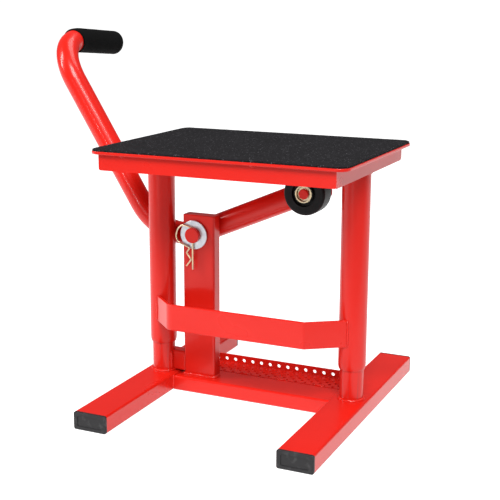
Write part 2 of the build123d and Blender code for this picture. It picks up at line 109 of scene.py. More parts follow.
class Value:
    """One number or colour inside a material, with arithmetic on numbers."""

    def __init__(self, graph: "Graph", socket: bpy.types.NodeSocket) -> None:
        """Keeps the graph and the output socket that holds the value."""
        self.graph = graph
        self.socket = socket

    def _math(self, operation: str, first: object, second: object) -> "Value":
        """Adds one Math node.

        Args:
            operation: The node's operation.
            first: Its first value.
            second: Its second value.

        Returns:
            The result.
        """
        return self.graph.add("ShaderNodeMath", {"operation": operation}, {0: first, 1: second})

    def __add__(self, other: object) -> "Value":
        """self + other."""
        return self._math("ADD", self, other)

    def __radd__(self, other: object) -> "Value":
        """other + self."""
        return self._math("ADD", other, self)

    def __sub__(self, other: object) -> "Value":
        """self - other."""
        return self._math("SUBTRACT", self, other)

    def __rsub__(self, other: object) -> "Value":
        """other - self."""
        return self._math("SUBTRACT", other, self)

    def __mul__(self, other: object) -> "Value":
        """self * other."""
        return self._math("MULTIPLY", self, other)

    def __rmul__(self, other: object) -> "Value":
        """other * self."""
        return self._math("MULTIPLY", other, self)

    def __gt__(self, other: object) -> "Value":
        """1 where self is over other, else 0."""
        return self._math("GREATER_THAN", self, other)


class Graph:
    """The node tree of one material, which ends in a Principled shader."""

    def __init__(self, name: str) -> None:
        """Makes an empty material with its shader and output.

        Args:
            name: The material's name.
        """
        self.material = bpy.data.materials.new(name)
        self.material.use_nodes = True
        self.tree = self.material.node_tree
        self.tree.nodes.clear()
        self.shader = self.tree.nodes.new("ShaderNodeBsdfPrincipled")
        output = self.tree.nodes.new("ShaderNodeOutputMaterial")
        self.tree.links.new(self.shader.outputs["BSDF"], output.inputs["Surface"])
        self.place = self.add("ShaderNodeTexCoord", out="Object")

    def put(self, socket: bpy.types.NodeSocket, value: object) -> None:
        """Links a Value to an input socket, or sets plain numbers on it.

        Args:
            socket: The input.
            value: A Value, a number, or numbers.
        """
        if isinstance(value, Value):
            self.tree.links.new(value.socket, socket)
        else:
            socket.default_value = value

    def add(
        self,
        kind: str,
        settings: Mapping[str, object] | None = None,
        sockets: Mapping[int | str, object] | None = None,
        out: int | str = 0,
    ) -> Value:
        """Adds one node.

        Args:
            kind: The node's type.
            settings: Its own settings, set first.
            sockets: The values or links of its inputs.
            out: The output to return.

        Returns:
            That output's value.
        """
        node = self.tree.nodes.new(kind)
        for key, setting in (settings or {}).items():
            setattr(node, key, setting)
        for key, value in (sockets or {}).items():
            self.put(node.inputs[key], value)
        return Value(self, node.outputs[out])

    def finish(self, **values: object) -> bpy.types.Material:
        """Sets the shader's inputs.

        Args:
            **values: Their values, under the inputs' names with underscores.

        Returns:
            The material.
        """
        for key, value in values.items():
            self.put(self.shader.inputs[key.replace("_", " ")], value)
        return self.material

    def stretched(self, scale: Sequence[float]) -> Value:
        """The place on the piece, scaled along each axis."""
        factors = {0: self.place, 1: tuple(scale)}
        return self.add("ShaderNodeVectorMath", {"operation": "MULTIPLY"}, factors)

    def axis(self, name: str) -> Value:
        """One coordinate, "X", "Y" or "Z", in metres."""
        return self.add("ShaderNodeSeparateXYZ", None, {0: self.place}, out=name)

    def away_from(self, axle: Place) -> Value:
        """The distance from an axle, squared, because that saves a node.

        Args:
            axle: A point of the axle, which runs along Y.

        Returns:
            The squared distance in square metres.
        """
        across = self.axis("X") - axle[0]
        up = self.axis("Z") - axle[2]
        return across * across + up * up

    def grain(self, pitch: float, detail: float = 2.0, place: Value | None = None) -> Value:
        """Smooth noise from 0 to 1.

        Args:
            pitch: The size of its patches, in metres, or in scaled units of place.
            detail: How many finer layers it has.
            place: Other coordinates to read.

        Returns:
            The noise.
        """
        sockets = {"Vector": place or self.place, "Scale": 1.0 / pitch, "Detail": detail}
        return self.add("ShaderNodeTexNoise", None, sockets, out=0)

    def cells(self, pitch: float, out: str = "Distance") -> Value:
        """Cell pattern: a distance from each cell's point, or a random colour for each.

        Args:
            pitch: The size of a cell in metres.
            out: The node's output.

        Returns:
            That output.
        """
        sockets = {"Vector": self.place, "Scale": 1.0 / pitch}
        return self.add("ShaderNodeTexVoronoi", None, sockets, out=out)

    def cell_tint(self, pitch: float) -> Value:
        """A random number from 0 to 1 for each cell."""
        return self.add("ShaderNodeSeparateColor", None, {0: self.cells(pitch, "Color")})

    def level(self, value: Value, low: float, high: float) -> Value:
        """0 where value is at low, 1 at high, smooth between; low may be the larger."""
        sockets = {"Value": value, "From Min": low, "From Max": high}
        return self.add("ShaderNodeMapRange", {"interpolation_type": "SMOOTHSTEP"}, sockets)

    def mix(self, factor: object, first: object, second: object) -> Value:
        """Blends two colours.

        Args:
            factor: How much of the second there is, from 0 to 1.
            first: The first colour: a Value, or three numbers.
            second: The second colour, in the same way.

        Returns:
            The blend.
        """
        colours = [c if isinstance(c, Value) else (*c, 1.0) for c in (first, second)]
        sockets = {0: factor, 6: colours[0], 7: colours[1]}
        return self.add("ShaderNodeMix", {"data_type": "RGBA"}, sockets, out=2)

    def bump(self, height: Value, depth: float, strength: float = 1.0) -> Value:
        """A surface normal that follows a height from 0 to 1, depth metres deep."""
        sockets = {"Strength": strength, "Distance": depth, "Height": height}
        return self.add("ShaderNodeBump", None, sockets)


# ------------------------------------------------------------------ finishes


@dataclass(frozen=True)
class PowderCoat:
    """Gloss red powder coat with orange peel, a few nibs, and rubbed places."""

    name: str = "red_powder_coat"
    colour: Colour = (0.57, 0.0105, 0.0048)
    deep: Colour = (0.47, 0.0075, 0.0036)
    rubbed: Colour = (0.27, 0.03, 0.026)
    nib: Colour = (0.16, 0.006, 0.005)
    peel_pitch: float = 2.4 * MM
    peel_depth: float = 0.05 * MM
    nib_pitch: float = 22 * MM
    slide_wear: float = 0.0
    floor_wear: float = 0.0

    def build(self) -> bpy.types.Material:
        """Makes the finish.

        Returns:
            The material.
        """
        graph = Graph(self.name)
        broad = graph.grain(90 * MM, 3.0)
        peel = graph.grain(self.peel_pitch, 1.0)
        nib_spot = graph.cells(self.nib_pitch)
        nibs = graph.level(nib_spot, 0.028, 0.016) * (graph.cell_tint(self.nib_pitch) > 0.8)
        streaks = graph.level(graph.grain(1.0, 4.0, graph.stretched((420, 420, 9))), 0.55, 0.72)
        low = graph.level(graph.axis("Z"), 5 * MM, 0.5 * MM)
        scuffs = low * graph.level(graph.grain(4 * MM, 4.0), 0.42, 0.62)
        worn = streaks * self.slide_wear + scuffs * self.floor_wear
        paint = graph.mix(broad * 0.5, self.colour, self.deep)
        paint = graph.mix(nibs, paint, self.nib)
        return graph.finish(
            Base_Color=graph.mix(worn, paint, self.rubbed),
            Roughness=0.24 + 0.1 * broad + 0.3 * worn,
            Normal=graph.bump(peel + nibs, self.peel_depth, 0.6),
            Coat_Weight=0.14,
            Specular_IOR_Level=0.27,
            Coat_Roughness=0.06,
            IOR=1.46,
        )


@dataclass(frozen=True)
class GritMat:
    """Charcoal anti-slip sheet: coarse mineral grains with sparkling flecks."""

    name: str = "grit_mat"
    dark: Colour = (0.0028, 0.0026, 0.003)
    pale: Colour = (0.015, 0.014, 0.016)
    fleck: Colour = (0.12, 0.12, 0.13)
    grain_pitch: float = 1.5 * MM
    depth: float = 0.5 * MM

    def build(self) -> bpy.types.Material:
        """Makes the finish.

        Returns:
            The material.
        """
        graph = Graph(self.name)
        grains = graph.cells(self.grain_pitch)
        tint = graph.cell_tint(self.grain_pitch)
        patches = graph.grain(35 * MM, 3.0)
        flecks = graph.level(tint, 0.93, 0.97) * graph.level(grains, 0.5, 0.2)
        ground = graph.mix(tint * 0.75 + patches * 0.35 - 0.1, self.dark, self.pale)
        height = (1 - grains) * (0.5 + tint * 0.5)
        return graph.finish(
            Base_Color=graph.mix(flecks, ground, self.fleck),
            Roughness=0.88 - 0.45 * flecks,
            Normal=graph.bump(height, self.depth, 0.9),
            Specular_IOR_Level=0.08,
        )


@dataclass(frozen=True)
class Foam:
    """Closed-cell foam with a fine open skin."""

    name: str = "foam_sleeve"
    dark: Colour = (0.001, 0.001, 0.0011)
    pale: Colour = (0.0045, 0.0045, 0.0046)
    cell_pitch: float = 0.9 * MM
    depth: float = 0.22 * MM

    def build(self) -> bpy.types.Material:
        """Makes the finish.

        Returns:
            The material.
        """
        graph = Graph(self.name)
        pores = graph.cells(self.cell_pitch)
        patches = graph.grain(14 * MM, 4.0)
        return graph.finish(
            Base_Color=graph.mix(pores * 0.6 + patches * 0.4, self.dark, self.pale),
            Roughness=0.86 + 0.1 * patches,
            Normal=graph.bump(pores + 0.6 * patches, self.depth, 0.8),
            Specular_IOR_Level=0.06,
        )


@dataclass(frozen=True)
class MouldedPlastic:
    """Satin black moulded plastic; a wheel's tread, beyond tread_radius, is scuffed."""

    name: str = "moulded_plastic"
    colour: Colour = (0.013, 0.0125, 0.0135)
    dusty: Colour = (0.045, 0.043, 0.045)
    texture_pitch: float = 0.8 * MM
    depth: float = 0.05 * MM
    roughness: float = 0.42
    specular: float = 0.28
    axle: Place = (0.0, 0.0, 0.0)
    tread_radius: float = 0.0

    def build(self) -> bpy.types.Material:
        """Makes the finish.

        Returns:
            The material.
        """
        graph = Graph(self.name)
        texture = graph.grain(self.texture_pitch, 2.0)
        patches = graph.grain(9 * MM, 5.0)
        marks = graph.level(patches, 0.5, 0.75) * 0.5
        if self.tread_radius > 0:
            reach = graph.away_from(self.axle)
            inner = (self.tread_radius - 2.5 * MM) ** 2
            tread = graph.level(reach, inner, self.tread_radius**2)
            marks = marks + tread * graph.level(patches, 0.35, 0.6) * 0.5
        return graph.finish(
            Base_Color=graph.mix(marks, self.colour, self.dusty),
            Roughness=self.roughness + 0.25 * patches,
            Normal=graph.bump(texture + 0.5 * patches, self.depth, 0.7),
            Specular_IOR_Level=self.specular,
        )


@dataclass(frozen=True)
class PlatedSteel:
    """Plated steel: faint brushing, cloudy tone and small handling marks; a bore, if given, is
    darkened with painted shade.
    """

    name: str
    colour: Colour
    clouded: Colour
    roughness: float = 0.3
    brush_pitch: float = 0.35 * MM
    axle: Place = (0.0, 0.0, 0.0)
    bore_radius: float = 0.0
    grease: Colour = (0.03, 0.024, 0.018)

    def build(self) -> bpy.types.Material:
        """Makes the finish.

        Returns:
            The material.
        """
        graph = Graph(self.name)
        clouds = graph.grain(7 * MM, 5.0)
        across, along = 0.2 / self.brush_pitch, 1 / self.brush_pitch
        brushing = graph.grain(1.0, 3.0, graph.stretched((across, across, along)))
        marks = graph.level(graph.grain(1.6 * MM, 4.0), 0.6, 0.75)
        plate = graph.mix(graph.level(clouds, 0.3, 0.7), self.colour, self.clouded)
        rough = self.roughness + 0.14 * brushing + 0.15 * marks
        # painted shade: inside bore_radius round the axle the plate is darkened, as shade in the
        # bush's recess
        if self.bore_radius > 0:
            reach = graph.away_from(self.axle)
            bore_shade = graph.level(reach, self.bore_radius**2, (self.bore_radius - 0.3 * MM) ** 2)
            plate = graph.mix(bore_shade, plate, self.grease)
            rough = rough + 0.2 * bore_shade
        return graph.finish(
            Base_Color=plate,
            Metallic=1.0,
            Roughness=rough,
            Normal=graph.bump(brushing + marks, 0.02 * MM, 0.5),
        )


class Finishes:
    """Every finish of the stand, each built once."""

    def __init__(self, roller_axle: Vector, roller_radius: float) -> None:
        """Builds them all.

        Args:
            roller_axle: The middle of the roller's axle.
            roller_radius: The wheel's radius; its tread is scuffed.
        """
        self.coat = PowderCoat().build()
        self.sliding_coat = PowderCoat("red_coat_on_uprights", slide_wear=0.55).build()
        self.floor_coat = PowderCoat("red_coat_on_feet", floor_wear=0.8).build()
        self.mat = GritMat().build()
        self.foam = Foam().build()
        self.cap = MouldedPlastic("foot_cap_plastic", dusty=(0.06, 0.058, 0.06)).build()
        self.wheel = MouldedPlastic(
            "roller_plastic",
            colour=(0.0035, 0.0035, 0.004),
            dusty=(0.012, 0.012, 0.0125),
            roughness=0.34,
            specular=0.16,
            axle=tuple(roller_axle),
            tread_radius=roller_radius,
        ).build()
        self.zinc = PlatedSteel("zinc_plate", (0.66, 0.67, 0.7), (0.52, 0.54, 0.6)).build()
        gold, dull_gold = (0.78, 0.64, 0.4), (0.6, 0.5, 0.36)
        self.yellow = PlatedSteel("yellow_zinc_plate", gold, dull_gold, 0.22).build()
        # the bush's bore is darkened with painted shade
        self.bush = PlatedSteel(
            "bush_plate", gold, dull_gold, 0.22, axle=tuple(roller_axle), bore_radius=10.4 * MM
        ).build()


# ------------------------------------------------------------------ mesh making


@dataclass
class Geometry:
    """Points and faces of one mesh, in the stand's frame."""

    points: list[Vector] = field(default_factory=list)
    faces: list[tuple[int, ...]] = field(default_factory=list)

    def ring_strip(self, first: int, second: int, count: int, closed: bool = True) -> None:
        """Joins two rows of points with quads.

        Args:
            first: Index of the first row's first point.
            second: Index of the second row's first point.
            count: Points in a row.
            closed: Whether the row runs round.
        """
        for index in range(count if closed else count - 1):
            after = (index + 1) % count
            self.faces.append((first + index, first + after, second + after, second + index))

    def piece(self, name: str, material: bpy.types.Material) -> bpy.types.Object:
        """Makes a smooth-shaded object with outward faces.

        Args:
            name: The piece's name.
            material: Its finish.

        Returns:
            The object.
        """
        mesh = bpy.data.meshes.new(name)
        mesh.from_pydata(self.points, [], self.faces)
        mesh.validate()
        mesh.materials.append(material)
        mesh.polygons.foreach_set("use_smooth", [True] * len(mesh.polygons))
        mesh.set_sharp_from_angle(angle=math.radians(40))
        made = bpy.data.objects.new(name, mesh)
        bpy.context.scene.collection.objects.link(made)
        return made


def spaced(corners: Sequence[Vector], step: float, closed: bool) -> list[Vector]:
    """Points evenly spaced along a line of straight runs.

    Args:
        corners: The line's corners.
        step: The wanted spacing.
        closed: Whether the line returns to its start.

    Returns:
        The points, without a repeat of the first where it is closed.
    """
    line = np.array([*corners, corners[0]] if closed else corners, float)
    lengths = np.linalg.norm(np.diff(line, axis=0), axis=1)
    travelled = np.concatenate([[0.0], np.cumsum(lengths)])
    count = max(4, round(travelled[-1] / step))
    places = np.linspace(0, travelled[-1], count + 1)
    if closed:
        places = places[:-1]
    return [Vector([np.interp(p, travelled, line[:, k]) for k in range(3)]) for p in places]


def arc(centre: Vector, first: Vector, second: Vector, start: float, end: float) -> list[Vector]:
    """Points of an arc.

    Args:
        centre: Its centre.
        first: The radius vector at angle 0.
        second: The radius vector at a quarter turn.
        start: Start angle in radians.
        end: End angle in radians.

    Returns:
        Points about every 4 degrees.
    """
    count = max(3, round(abs(end - start) / math.radians(4)))
    angles = [start + (end - start) * step / count for step in range(count + 1)]
    return [centre + first * math.cos(a) + second * math.sin(a) for a in angles]


def swept(path: Sequence[Vector], radii: Sequence[float], sides: int, closed: bool) -> Geometry:
    """A round skin along a path.

    Args:
        path: The centre line.
        radii: The radius at each point of it.
        sides: Points round the section.
        closed: Whether the path runs round; otherwise both ends are closed.

    Returns:
        The skin.
    """
    made = Geometry()
    count = len(path)
    normal = Vector((0.0, 0.0, 0.0))
    for index, (point, radius) in enumerate(zip(path, radii)):
        before = path[index - 1] if closed or index else point
        after = path[(index + 1) % count] if closed or index < count - 1 else point
        along = (after - before).normalized()
        normal = normal - along * normal.dot(along)
        if normal.length < 1e-6:
            normal = along.orthogonal()
        normal.normalize()
        across = along.cross(normal)
        for side in range(sides):
            turn = 2 * math.pi * side / sides
            made.points.append(point + (normal * math.cos(turn) + across * math.sin(turn)) * radius)
    for index in range(count if closed else count - 1):
        made.ring_strip(index * sides, (index + 1) % count * sides, sides)
    if not closed:
        made.faces.append(tuple(reversed(range(sides))))
        made.faces.append(tuple((count - 1) * sides + side for side in range(sides)))
    return made


@dataclass
class WeldBead:
    """A weld seam under paint: overlapping ripples along a line."""

    name: str
    corners: Sequence[Vector]
    closed: bool = False
    radius: float = 2.6 * MM
    ripple: float = 2.4 * MM
    steps: int = 5
    sides: int = 12

    def build(self, material: bpy.types.Material, body: Body) -> bpy.types.Object:
        """Makes the bead.

        Args:
            material: Its finish.
            body: The body that it rides on.

        Returns:
            The piece.
        """
        draw = random.Random(self.name)
        path = spaced(self.corners, self.ripple / self.steps, self.closed)
        count = len(path)
        size = 1.0
        radii = []
        for index in range(count):
            phase = index % self.steps
            if phase == 0:
                size = draw.uniform(0.9, 1.08)
            dome = math.sqrt(max(0.0, 1 - (2 * phase / self.steps - 0.7) ** 2 / 1.7))
            end = min(index, count - 1 - index) / (1.5 * self.steps)
            taper = 1.0 if self.closed else math.sqrt(min(1.0, 0.12 + end))
            radii.append(self.radius * size * (0.82 + 0.18 * dome) * taper)
        shaken = [p + noise.noise_vector(p / (4 * MM)) * self.radius * 0.12 for p in path]
        piece = swept(shaken, radii, self.sides, self.closed).piece(self.name, material)
        return mount(piece, body)


def mount(piece: bpy.types.Object, body: Body) -> bpy.types.Object:
    """Puts a piece on its body.

    Args:
        piece: The piece, in place.
        body: The body that it rides on.

    Returns:
        The piece.
    """
    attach(piece, body.value)
    LOG.info("%s: %d faces on %s", piece.name, len(piece.data.polygons), body.value)
    return piece


def dress(nodes: Iterable[str], material: bpy.types.Material) -> None:
    """Gives CAD nodes their finish.

    Args:
        nodes: The nodes' names.
        material: The finish.
    """
    for name in nodes:
        for held in frame["nodes"][name].material_slots:
            held.material = material
        LOG.info("%s: finished in %s", name, material.name)


def middle(node: str) -> Vector:
    """The centre of a CAD node's box."""
    low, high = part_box(node)
    return (low + high) / 2


# ------------------------------------------------------------------ base


@dataclass
class Base:
    """The standing frame: feet, beam, tray, uprights and pivot post."""

    finishes: Finishes
    upright_bead: float = 2.9 * MM
    beam_bead: float = 2.1 * MM
    post_bead: float = 3.1 * MM
    brace_bead: float = 2.8 * MM
    brace_end_bead: float = 1.5 * MM
    tray_bead: float = 1.6 * MM
    tray_tack: float = 18 * MM
    tray_tack_shares: tuple[float, ...] = (0.38, 0.62, 0.86)

    def build(self) -> None:
        """Dresses the base's nodes and lays its welds."""
        red = ["cross_beam", "step_tray", "pivot_post", "post_cap", "post_brace"]
        dress(red, self.finishes.coat)
        dress(["pivot_sleeve"], self.finishes.zinc)
        for side in Side:
            dress([f"{side.label}_foot_tube"], self.finishes.floor_coat)
            dress([f"{side.label}_inner_tube"], self.finishes.sliding_coat)
            caps = [f"{side.label}_{end}_foot_cap" for end in ("front", "rear")]
            dress(caps, self.finishes.cap)
            self.upright_weld(side)
            self.beam_weld(side)
        self.post_weld()
        self.brace_welds()
        self.tray_tacks()

    def bead(
        self, name: str, corners: Sequence[Vector], radius: float, closed: bool = False
    ) -> None:
        """Lays one weld on the base."""
        WeldBead(name, corners, closed, radius).build(self.finishes.coat, Body.BASE)

    def upright_weld(self, side: Side) -> None:
        """The ring of weld round an upright's foot.

        Args:
            side: The upright's side.
        """
        low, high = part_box(f"{side.label}_inner_tube")
        centre = Vector(((low.x + high.x) / 2, (low.y + high.y) / 2, low.z))
        radius = (high.x - low.x) / 2 + 0.4 * MM
        first, second = Vector((radius, 0, 0)), Vector((0, radius, 0))
        ring = arc(centre, first, second, 0, 2 * math.pi)[:-1]
        self.bead(f"{side.label}_upright_weld", ring, self.upright_bead, closed=True)

    def beam_weld(self, side: Side) -> None:
        """The seam between the beam's end and a foot: up the front and along the top.

        Args:
            side: The end's side.
        """
        low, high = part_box("cross_beam")
        tray_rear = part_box("step_tray")[1].y
        x = high.x if side is Side.RIGHT else low.x
        top = high.z
        corners = [
            Vector((x, low.y, low.z + 3 * MM)),
            Vector((x, low.y, top - 3 * MM)),
            Vector((x, low.y + 0.9 * MM, top - 0.9 * MM)),
            Vector((x, low.y + 3 * MM, top)),
            Vector((x, high.y, top)),
            Vector((x, tray_rear - 4 * MM, top)),
        ]
        self.bead(f"{side.label}_beam_weld", corners, self.beam_bead)

    def post_weld(self) -> None:
        """The seam round the post's foot, open at the rear."""
        low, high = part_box("pivot_post")
        z = low.z
        corners = [
            Vector((low.x, high.y - 3 * MM, z)),
            Vector((low.x, low.y + 2 * MM, z)),
            Vector((low.x + 2 * MM, low.y, z)),
            Vector((high.x - 2 * MM, low.y, z)),
            Vector((high.x, low.y + 2 * MM, z)),
            Vector((high.x, high.y - 3 * MM, z)),
        ]
        self.bead("post_foot_weld", corners, self.post_bead)

    def brace_welds(self) -> None:
        """Upright seams at both ends of the brace, the left one on the upright's skin."""
        low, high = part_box("post_brace")
        upright_low, upright_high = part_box("left_inner_tube")
        radius = (upright_high.x - upright_low.x) / 2
        seam_y = low.y - self.brace_bead
        seam_x = upright_low.x + radius + math.sqrt(radius**2 - seam_y**2)
        ends = {
            "brace_upright_weld": (seam_x, seam_y, self.brace_bead),
            "brace_post_weld": (high.x, low.y + 0.8 * MM, self.brace_end_bead),
        }
        for name, (x, y, bead) in ends.items():
            corners = [Vector((x, y, low.z + 1 * MM)), Vector((x, y, high.z - 1 * MM))]
            self.bead(name, corners, bead)

    def tray_tacks(self) -> None:
        """Short tacks along the joint of tray and beam."""
        low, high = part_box("step_tray")
        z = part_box("cross_beam")[1].z
        for number, share in enumerate(self.tray_tack_shares, 1):
            x = low.x + share * (high.x - low.x)
            corners = [Vector((x + end * self.tray_tack / 2, low.y, z)) for end in (-1, 1)]
            self.bead(f"tray_tack_{number}", corners, self.tray_bead)


# ------------------------------------------------------------------ platform


@dataclass
class Platform:
    """The sliding platform: plate, mat, skirt, sleeves, guard and ramp."""

    finishes: Finishes
    mat_corner: float = 15.2 * MM
    mat_pitch: float = 2.4 * MM
    mat_grit: float = 0.16 * MM
    mat_edge: float = 1.6 * MM
    mat_roll: float = 0.9 * MM
    guard_thickness: float = 4 * MM
    guard_left_bend: float = -110 * MM
    guard_right_bend: float = 96 * MM
    guard_bead: float = 1.7 * MM
    tack_length: float = 7 * MM
    tack_bead: float = 2.2 * MM
    tack_drop: float = 0.6 * MM
    long_side_tacks: tuple[float, float] = (-131 * MM, 56 * MM)
    short_side_tacks: tuple[float, float] = (-85 * MM, 85 * MM)
    sleeve_bead: float = 2.2 * MM
    sleeve_skirt_bead: float = 1.8 * MM
    ramp_bead: float = 1.9 * MM

    def build(self) -> None:
        """Dresses the platform's nodes, makes its mat and lays its welds."""
        rails = [f"{place}_rail" for place in ("front", "rear", "left", "right")]
        sleeves = [f"{side.label}_outer_tube" for side in Side]
        dress(["platform_plate", "front_guard", "lift_ramp", *rails, *sleeves], self.finishes.coat)
        self.grip_mat()
        self.skirt_tacks()
        for side in Side:
            self.sleeve_weld(side)
            self.guard_welds(side)
        self.ramp_welds()

    def bead(
        self, name: str, corners: Sequence[Vector], radius: float, closed: bool = False
    ) -> None:
        """Lays one weld on the platform."""
        WeldBead(name, corners, closed, radius).build(self.finishes.coat, Body.PLATFORM)

    def grip_mat(self) -> None:
        """The anti-slip mat: a grainy top, rolled edges and rounded corners."""
        low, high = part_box("anti_slip_mat")
        centre = (low + high) / 2
        half_x, half_y = (high.x - low.x) / 2, (high.y - low.y) / 2
        across = round(2 * half_x / self.mat_pitch)
        along = round(2 * half_y / self.mat_pitch)
        draw = random.Random("mat")
        made = Geometry()
        for bottom in (False, True):
            for row in range(along + 1):
                y = half_y * (2 * row / along - 1)
                past = min(self.mat_corner, max(0.0, abs(y) - (half_y - self.mat_corner)))
                reach = half_x - self.mat_corner + math.sqrt(self.mat_corner**2 - past**2)
                for column in range(across + 1):
                    x = reach * (2 * column / across - 1)
                    edge = min(reach - abs(x), half_y - abs(y))
                    fall = max(0.0, 1 - edge / self.mat_edge) ** 2
                    top = high.z - fall * self.mat_roll - self.mat_grit * draw.random()
                    z = low.z if bottom else top
                    made.points.append(Vector((centre.x + x, centre.y + y, z)))
        row_size = across + 1
        layer = row_size * (along + 1)
        for row in range(along):
            start = row * row_size
            for column in range(across):
                a = start + column
                made.faces.append((a, a + 1, a + 1 + row_size, a + row_size))
                b = a + layer
                made.faces.append((b, b + row_size, b + 1 + row_size, b + 1))
        rim = list(range(across))
        rim += [row * row_size + across for row in range(along)]
        rim += [along * row_size + column for column in range(across, 0, -1)]
        rim += [row * row_size for row in range(along, 0, -1)]
        for index, point in enumerate(rim):
            after = rim[(index + 1) % len(rim)]
            made.faces.append((point, point + layer, after + layer, after))
        piece = made.piece("grit_mat", self.finishes.mat)
        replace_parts(mount(piece, Body.PLATFORM), "anti_slip_mat")

    def skirt_tacks(self) -> None:
        """Tack welds where the skirt meets the plate's underside."""
        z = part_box("platform_plate")[0].z - self.tack_drop
        half = self.tack_length / 2
        for place in ("front", "rear"):
            low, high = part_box(f"{place}_rail")
            y = low.y if place == "front" else high.y
            for number, x in enumerate(self.long_side_tacks, 1):
                corners = [Vector((x - half, y, z)), Vector((x + half, y, z))]
                self.bead(f"{place}_skirt_tack_{number}", corners, self.tack_bead)
        for side in Side:
            low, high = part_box(f"{side.label}_rail")
            x = high.x if side is Side.RIGHT else low.x
            for number, y in enumerate(self.short_side_tacks, 1):
                corners = [Vector((x, y - half, z)), Vector((x, y + half, z))]
                self.bead(f"{side.label}_skirt_tack_{number}", corners, self.tack_bead)

    def sleeve_weld(self, side: Side) -> None:
        """The seam round a sleeve's top, and the one under the skirt beside it.

        Args:
            side: The sleeve's side.
        """
        low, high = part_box(f"{side.label}_outer_tube")
        rail_low, rail_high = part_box(f"{side.label}_rail")
        radius = (high.y - low.y) / 2
        centre_x = low.x + radius if side is Side.RIGHT else high.x - radius
        centre = Vector((centre_x, 0, high.z))
        first, second = Vector((-side.value * radius, 0, 0)), Vector((0, radius, 0))
        inner = rail_low.x if side is Side.RIGHT else rail_high.x
        open_half = math.acos(max(-1.0, min(1.0, -abs(inner - centre_x) / radius))) - 0.06
        ring = arc(centre, first, second, -open_half, open_half)
        self.bead(f"{side.label}_sleeve_top_weld", ring, self.sleeve_bead)
        reach = math.sqrt(max(0.0, radius**2 - (inner - centre_x) ** 2))
        run = [Vector((inner + side.value * 1.2 * MM, y, rail_low.z)) for y in (-reach, reach)]
        self.bead(f"{side.label}_sleeve_skirt_weld", run, self.sleeve_skirt_bead)

    def guard_welds(self, side: Side) -> None:
        """Upright seams on both faces of the guard bar where it meets a sleeve.

        Args:
            side: The sleeve's side.
        """
        low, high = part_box("front_guard")
        tube_low, tube_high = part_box(f"{side.label}_outer_tube")
        radius = (tube_high.y - tube_low.y) / 2
        centre_x = tube_low.x + radius if side is Side.RIGHT else tube_high.x - radius
        inner = middle(f"{side.label}_inner_tube")
        inner_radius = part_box(f"{side.label}_inner_tube")[1].x - inner.x
        bend_x = self.guard_right_bend if side is Side.RIGHT else self.guard_left_bend
        start = Vector((centre_x, -inner_radius))
        along = (Vector((bend_x, low.y + self.guard_thickness / 2)) - start).normalized()
        outward = Vector((-along.y, along.x)) * -side.value
        for name, offset in (("outer", 1), ("inner", -1)):
            face = start + outward * (offset * self.guard_thickness / 2)
            step = 0.0
            while (face + along * step - Vector((centre_x, 0))).length < radius + 0.3 * MM:
                step += 0.1 * MM
            spot = face + along * step
            heights = (low.z + 0.5 * MM, high.z - 0.5 * MM)
            corners = [Vector((spot.x, spot.y, z)) for z in heights]
            self.bead(f"{side.label}_guard_{name}_weld", corners, self.guard_bead)

    def ramp_welds(self) -> None:
        """Seams along both sides of the ramp."""
        low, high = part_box("lift_ramp")
        for name, y in (("front", low.y), ("rear", high.y)):
            corners = [Vector((low.x + 6 * MM, y, high.z)), Vector((high.x - 4 * MM, y, high.z))]
            self.bead(f"ramp_{name}_weld", corners, self.ramp_bead)


# ------------------------------------------------------------------ lever and roller


